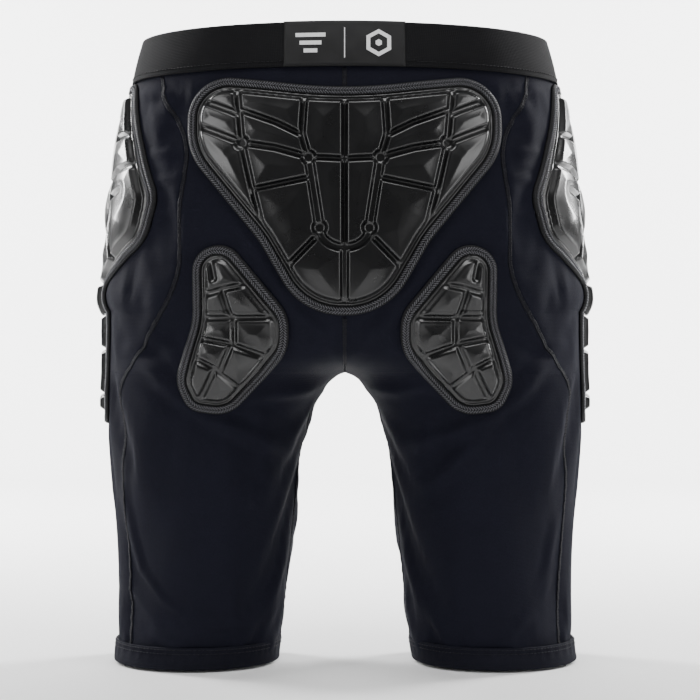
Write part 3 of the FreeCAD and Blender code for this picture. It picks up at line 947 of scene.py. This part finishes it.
# ---------------------------------------------------------------------------------------
# Hems: each leg's edge is turned up 17 mm and cover-stitched, two rows of needle thread on
# the outside with the fold left soft at the bottom.
# ---------------------------------------------------------------------------------------
hem_knit = knit_material("navy_black_hem", 900, (0.0070, 0.0072, 0.0115),
                         (0.0105, 0.0108, 0.0165), 0.004, 0.35)
HEM_TALL = 17
hem_profile = [(HEM_TALL, 0.15), (HEM_TALL - 0.4, 0.75)]
hem_profile += [(h, 0.85) for h in np.linspace(HEM_TALL - 1.5, 1.4, 7)]
hem_profile += [(0.4, 0.55), (0.0, -0.1), (0.3, -0.9), (1.2, -1.3)]
hem_profile += [(h, -1.25) for h in np.linspace(3, HEM_TALL, 4)]
hem_thread = thread_material("black_hem_thread", (0.0060, 0.0060, 0.0085), 0.6, 0.5)
levels, lifts = np.array(hem_profile, float).T
LEG_AROUND = 408
HEM_POINTS = 260
for side, out in SIDES.items():
    angle = np.linspace(0, 2 * math.pi, HEM_POINTS, endpoint=False)
    rings = []
    for height, lift in zip(levels, lifts):
        h = np.full(HEM_POINTS, height)
        points, up = by_angle(out, angle, h)
        gather = 0.22 * np.sin(angle * 46 + 2 * np.sin(angle * 5)) * smoothstep(3, 10, h)
        flare = 0.5 * np.sin(angle * 3 + out) * smoothstep(8, 0, h)
        rings.append(points + up * (lift + gather + flare)[:, None])
    hem = turned_loop(f"{side}_turned_hem", np.array(rings),
                      np.linspace(0, LEG_AROUND, HEM_POINTS), levels, outward=out > 0)
    hem.data.materials.append(hem_knit)
    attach(hem, f"{side}_leg")
    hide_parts(f"{side}_hem")
    rows = []
    for level in (HEM_TALL - 1.6, HEM_TALL - 4.6):
        h = np.full(HEM_POINTS + 1, level)
        points, up = by_angle(out, np.append(angle, angle[:1]), h)
        rows.append((points + up * 1.1, up))
    row = stitched(f"{side}_hem_topstitch", rows, hem_thread, Spacing=0.0032,
                   Thread_length=0.0025, Thread_radius=0.00026)
    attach(row, f"{side}_leg")
    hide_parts(f"{side}_hem_stitching")

# ---------------------------------------------------------------------------------------
# Pads: five moulded skins of glossy black rubber over foam, cut into cells by bevelled
# channels.  Each has a flat flange that is sewn to the knit, and a low lip inside it.
# ---------------------------------------------------------------------------------------


def moulded_rubber():
    """Glossy rubber with a fine moulded grain, duller where hands and snow have rubbed it."""
    material, tree, principled = shader("black_moulded_rubber")
    grain = cloudy(tree, on_object(tree), 1500, 2)
    rubbed = cloudy(tree, on_object(tree), 38, 7, 0.62)
    feed(tree, principled, {
        "Base Color": dyed(tree, rubbed, (0.0030, 0.0030, 0.0034), (0.0062, 0.0062, 0.0068)),
        "Normal": relief(tree, grain, 0.25, 0.0001),
        "Roughness": ranged(tree, rubbed, 0.3, 0.7, 0.24, 0.36),
        "Specular IOR Level": 0.4, "Coat Weight": 0.35, "Coat Roughness": 0.14})
    return material


def foam():
    """Closed-cell foam, seen only when a skin is lifted off."""
    material, tree, principled = shader("charcoal_foam")
    cells = wired(tree, "ShaderNodeTexVoronoi", {
        "Vector": on_object(tree), "Scale": 900}).outputs["Distance"]
    feed(tree, principled, {
        "Base Color": dyed(tree, cells, (0.030, 0.030, 0.032), (0.055, 0.055, 0.058)),
        "Normal": relief(tree, cells, 0.6, 0.0003), "Roughness": 0.95})
    return material


def tape_cloth():
    """Woven binding tape: a close twill on the tape's own UVs."""
    material, tree, principled = shader("charcoal_binding_tape")
    twill = striped(tree, on_cloth(tree), 330, 0.5, 1, "DIAGONAL")
    mottle = cloudy(tree, on_cloth(tree), 210, 5)
    feed(tree, principled, {
        "Base Color": dyed(tree, mottle, (0.0035, 0.0035, 0.0042), (0.0100, 0.0100, 0.0115)),
        "Normal": relief(tree, twill, 0.6, 0.0003),
        "Roughness": 0.62, "Specular IOR Level": 0.2})
    return material


rubber_look, foam_look, tape_look = moulded_rubber(), foam(), tape_cloth()
tape_thread = thread_material("charcoal_tape_thread", (0.060, 0.060, 0.066), 0.42, 0.3)

# millimetres: the skin's flat flange, its thickness, the bulge of a cell and a dimple's radius
FLANGE, SKIN_THICK, PILLOW, DIMPLE = 1.4, 1.6, 2.3, 3.6
# how far in from the tape's outer edge the lip stands, and where the skin starts and stops rising
LIP_IN, RISE_FROM, RISE_TO = 7.9, 8.9, 12.9
LIP_TALL = 1.25
# the share of a cell's height that a channel and a dimple take away
CHANNEL_CUT, DIMPLE_CUT = 0.72, 0.8
PAD_STEP = 0.85
# the tape's section (inset from its outer edge, height), and its two rows (inset, slant)
TAPE_PROFILE = [(-0.6, 0.15), (-0.4, 1.6), (0.6, 2.45), (1.9, 2.7), (3.2, 2.6), (4.5, 2.7),
                (5.7, 2.45), (6.4, 1.9), (6.5, 1.48), (-0.1, 1.48), (-0.1, 0.15)]
TAPE_ROWS = (1.9, 0.75), (4.5, -0.75)
STITCH_LIFT = 2.72
FOAM_STEP = 3


def closed_pad(name, top, bottom, keep, uv, turned):
    """A closed form between two matching grids, over the cells that are kept."""
    count = keep.size
    cells = keep[:-1, :-1] & keep[1:, :-1] & keep[:-1, 1:] & keep[1:, 1:]
    quads = quads_of(np.arange(count).reshape(keep.shape))[cells]
    edges = np.stack([quads, np.roll(quads, -1, axis=1)], axis=-1).reshape(-1, 2)
    forward = edges[:, 0].astype(np.int64) * count + edges[:, 1]
    back = edges[:, 1].astype(np.int64) * count + edges[:, 0]
    rim = edges[~np.isin(forward, back)]
    wall = np.stack([rim[:, 1], rim[:, 0], rim[:, 0] + count, rim[:, 1] + count], axis=-1)
    faces = np.concatenate([quads, quads[:, ::-1] + count, wall])
    if turned:
        faces = faces[:, ::-1]
    used, packed = np.unique(faces, return_inverse=True)
    points = np.concatenate([top.reshape(-1, 3), bottom.reshape(-1, 3)])[used]
    flat = np.concatenate([uv.reshape(-1, 2)] * 2)[used]
    return new_mesh(name, points, packed.reshape(faces.shape).tolist(), flat)


def soft_ramp(low, high, value):
    """A ramp with a straight middle and slightly rounded ends, as a moulded bevel has."""
    t = np.clip((value - low) / (high - low), 0, 1)
    return 0.55 * t + 0.45 * t * t * (3 - 2 * t)


def build_pad(name, rim, to_body, crown, channels, dimples=(), domes=(), turned=False):
    """One pad: its moulded skin, the foam inside it, the tape round it and the stitches."""
    low, high = rim.min(axis=0), rim.max(axis=0) + PAD_STEP
    across, up = np.meshgrid(np.arange(low[0], high[0], PAD_STEP),
                             np.arange(low[1], high[1], PAD_STEP))
    flat = np.stack([across, up], axis=-1)
    depth_in = inside(flat, rim)
    groove = np.full(across.shape, FAR)
    for path, wide in channels:
        groove = np.minimum(groove, to_path(flat, path)[0] - wide)
    for x, z in dimples:
        groove = np.minimum(groove, np.hypot(across - x, up - z) - DIMPLE)
    into_cell = np.minimum(groove - 3, depth_in - 13)
    pillow = PILLOW * (1 - np.exp(-(np.maximum(into_cell, 0) / 11)**2))
    rise = soft_ramp(RISE_FROM, RISE_TO, depth_in)
    shape = rise * (crown - PILLOW - FLANGE + pillow)
    for x, z, rx, rz, tall in domes:
        away = np.sqrt(((across - x) / rx)**2 + ((up - z) / rz)**2)
        shape += tall * rise * (1 - soft_ramp(0.78, 1.0, away))
    shape *= 1 - CHANNEL_CUT * (1 - soft_ramp(0.6, 3.0, groove))
    for x, z in dimples:
        away = np.hypot(across - x, up - z)
        shape *= 1 - DIMPLE_CUT * (1 - soft_ramp(DIMPLE - 0.7, DIMPLE + 0.7, away))
    lip = LIP_TALL * np.exp(-((depth_in - LIP_IN) / 0.85)**4)
    height = FLANGE + np.maximum(shape, 0) + lip * (1 - rise)
    points, normals = to_body(across, up)
    keep = depth_in > 0.9
    floor = np.maximum(height - SKIN_THICK, 0.3)
    skin = closed_pad(f"{name}_moulded_skin", points + normals * height[..., None],
                      points + normals * floor[..., None], keep, flat, turned)
    skin.data.materials.append(rubber_look)
    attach(skin, "seat")
    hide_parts(f"{name}_pad_skin")

    near = 2 * FOAM_STEP + 1
    window = np.lib.stride_tricks.sliding_window_view(
        np.pad(floor, FOAM_STEP, mode="edge"), (near, near))
    coarse = np.s_[::FOAM_STEP, ::FOAM_STEP]
    room = np.maximum(window.min(axis=(-1, -2))[coarse] - 0.3, 0.55)
    grid, normal = points[coarse], normals[coarse]
    core = closed_pad(f"{name}_foam", grid + normal * room[..., None], grid + normal * 0.25,
                      (depth_in > 11)[coarse], flat[coarse], turned)
    core.data.materials.append(foam_look)
    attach(core, "seat")
    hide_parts(f"{name}_foam_core")

    ahead = np.roll(rim, -1, axis=0) - np.roll(rim, 1, axis=0)
    ahead /= np.linalg.norm(ahead, axis=1, keepdims=True)
    inward = np.stack([-ahead[:, 1], ahead[:, 0]], axis=1)
    rings = []
    along = along_line(rim)
    for inset, lift in TAPE_PROFILE:
        line = rim + inward * inset
        under, normal = to_body(line[:, 0], line[:, 1])
        wave = 0.10 * np.sin(along * 1.9) * (lift > 2)
        rings.append(under + normal * (lift + wave)[:, None])
    tape = turned_loop(f"{name}_binding_tape", np.array(rings), along,
                       [inset for inset, _ in TAPE_PROFILE], outward=not turned)
    tape.data.materials.append(tape_look)
    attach(tape, "seat")
    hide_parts(f"{name}_edge_tape")

    closed = np.concatenate([rim, rim[:1]])
    facing = np.concatenate([inward, inward[:1]])
    slanted = []
    for inset, slant in TAPE_ROWS:
        line = closed + facing * inset
        under, normal = to_body(line[:, 0], line[:, 1])
        slanted.append(stitched(f"{name}_row_{inset}", [(under + normal * STITCH_LIFT, normal)],
                                tape_thread, Spacing=0.0021, Thread_length=0.0030,
                                Thread_radius=0.00042, Slant=slant))
    thread = join(f"{name}_tape_stitches", slanted)
    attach(thread, "seat")
    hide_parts(f"{name}_stitching")


def both_sides(paths):
    """The paths, and the same paths mirrored across the middle."""
    return [list(p) for p in paths] + [[(-x, z) for x, z in p] for p in paths]


# channels between the cells: routes of (across, height) with their extra half width (mm)
LOW_ARC = [(18 * math.cos(a), 335.4 - 14.4 * math.sin(a)) for a in np.linspace(0, math.pi, 13)]
tailbone_channels = [(path, 0.3) for path in both_sides([
    ((-79.3, 446), (-74.9, 398.5), (-68, 368), (-60, 336)),
    ((-74.9, 398.5), (-92, 406), (-113, 415)), ((-103, 431), (-81.7, 422), (-78, 420)),
    ((-74.9, 398.5), (-50, 394), (-26, 386.8)), ((-28.8, 436), (-31, 404), (-26, 386.8)),
])]
tailbone_channels += [(path, 0) for path in both_sides([
    ((-66, 364), (-45, 368), (-24.5, 372)), ((-26, 386.8), (0, 385.5)),
    ((-76, 423), (-50, 413), (-30.5, 403)), ((-22, 327), (-40, 309)),
]) + [[(0, 428), (0, 321)]]]
tailbone_channels += [(path, 1.3) for path in both_sides([((-26, 386.8), (-18, 335.4))])]
tailbone_channels += [(LOW_ARC, 1.0), ([(0, 321), (0, 276)], 0.8)]
tailbone_dimples = [(s * x, z) for s in (-1, 1) for x, z in
                    ((74.9, 398.5), (26, 386.8), (18, 335.4))]
build_pad("tailbone", pad_rims["tailbone"], from_behind, 8.6, tailbone_channels,
          tailbone_dimples)

sit_channels = [
    ((105, 287), (86, 292), (75, 294)), ((106, 270), (80, 270), (50, 270.4)),
    ((108, 254), (84, 249.6), (56, 241.5)), ((116, 241), (97, 233), (80, 219)),
    ((98, 310), (96, 299)), ((90, 290), (84, 272)), ((81.5, 271), (81.8, 249)),
    ((84, 249), (93, 231)), ((98, 231), (108, 212))]
for side, out in SIDES.items():
    rim = pad_rims["sit_bone"] if out > 0 else (pad_rims["sit_bone"] * (-1, 1))[::-1]
    build_pad(f"sit_bone_{side}", rim, from_behind, 7.6,
              [([(out * x, z) for x, z in path], 0.2) for path in sit_channels])

# the hip pad's channels as seen from its side: a ring about the joint, and spokes from it
RING = [(21 * math.cos(a), 357 + 23 * math.sin(a)) for a in np.linspace(0, 2 * math.pi, 33)]
hip_channels = both_sides([
    ((-14, 376), (-34, 385), (-66, 389)), ((-22, 365), (-42, 369)),
    ((-15, 341), (-28, 329), (-38, 313)), ((-14, 411), (-54, 412)), ((-14, 446), (-14, 376)),
])
hip_channels += [RING, [(-16, 426), (16, 426)], [(-24, 300), (0, 296), (24, 300)],
                 [(-22, 277), (0, 272), (22, 277)], [(-22, 243), (0, 248), (22, 243)],
                 [(-22, 207), (0, 213), (22, 207)], [(0, 334), (0, 296)]]
for side, out in SIDES.items():
    build_pad(f"hip_{side}", pad_rims["hip"], lambda y, z, out=out: from_the_side(out, y, z),
              8.6, [(path, 0.3) for path in hip_channels], domes=[(0, 357, 17, 19, 0.9)],
              turned=out < 0)

# ---------------------------------------------------------------------------------------
# Studio: a pale paper floor that sweeps up to a wall behind, with two lamps that light the
# paper only.  A narrow upright soft box on each side and one overhead light the shorts.
# ---------------------------------------------------------------------------------------
scene = bpy.context.scene
paper, paper_tree, paper_shader = shader("studio_paper")
feed(paper_tree, paper_shader, {"Base Color": (0.86, 0.86, 0.86), "Roughness": 0.95})
FLOOR = -DROP - 2
FLOOR_HALF, WALL_HALF, WALL_TOP = 2600, 1150, 2200
SWEEP_FROM, SWEEP_RADIUS = 2000, 500
sweep = [(-900, FLOOR), (SWEEP_FROM, FLOOR)]
for a in np.linspace(0, math.pi / 2, 12)[1:]:
    sweep.append((SWEEP_FROM + SWEEP_RADIUS * math.sin(a),
                  FLOOR + SWEEP_RADIUS * (1 - math.cos(a))))
sweep.append((SWEEP_FROM + SWEEP_RADIUS, WALL_TOP))
half = [FLOOR_HALF if z == FLOOR else WALL_HALF for _, z in sweep]
strip = np.array([[(-wide, y, z), (wide, y, z)] for wide, (y, z) in zip(half, sweep)])
grid = np.arange(2 * len(strip)).reshape(-1, 2)
backdrop = new_mesh("backdrop", strip, quads_of(grid).reshape(-1, 4).tolist())
backdrop.data.materials.append(paper)

# name, place, size in metres, the point it faces, watts
LAMPS = (
    ("left_soft_box", (-1150, -800, -60), (0.36, 1.5), (0, 0, -200), 10),
    ("right_soft_box", (1150, -800, -60), (0.36, 1.5), (0, 0, -200), 10),
    ("top_soft_box", (0, -500, 1100), (1.2, 0.6), (0, 0, -200), 15),
    ("left_paper_light", (-1500, 1000, 700), (0.8, 1.4), (200, 2300, -200), 165),
    ("right_paper_light", (1500, 1000, 700), (0.8, 1.4), (-200, 2300, -200), 165),
)
for name, place, (wide, tall), aim, power in LAMPS:
    light = bpy.data.lights.new(name, "AREA")
    light.shape = "RECTANGLE"
    light.size, light.size_y = wide, tall
    light.energy = power
    lamp = bpy.data.objects.new(name, light)
    lamp.location = np.array(place) * MM
    lamp.rotation_euler = Vector(np.subtract(aim, place) * MM).to_track_quat("-Z", "Y").to_euler()
    scene.collection.objects.link(lamp)

world = bpy.data.worlds.new("studio")
scene.world = world
world.use_nodes = True
feed(world.node_tree, world.node_tree.nodes["Background"], {"Color": (1, 1, 1), "Strength": 0.15})

view = bpy.data.cameras.new("camera")
view.lens = 96.4
view.sensor_width = 36
camera = bpy.data.objects.new("camera", view)
camera.location = (0.004, -1.5, -0.2444)
camera.rotation_euler = (math.pi / 2, 0, 0)
scene.collection.objects.link(camera)
scene.camera = camera
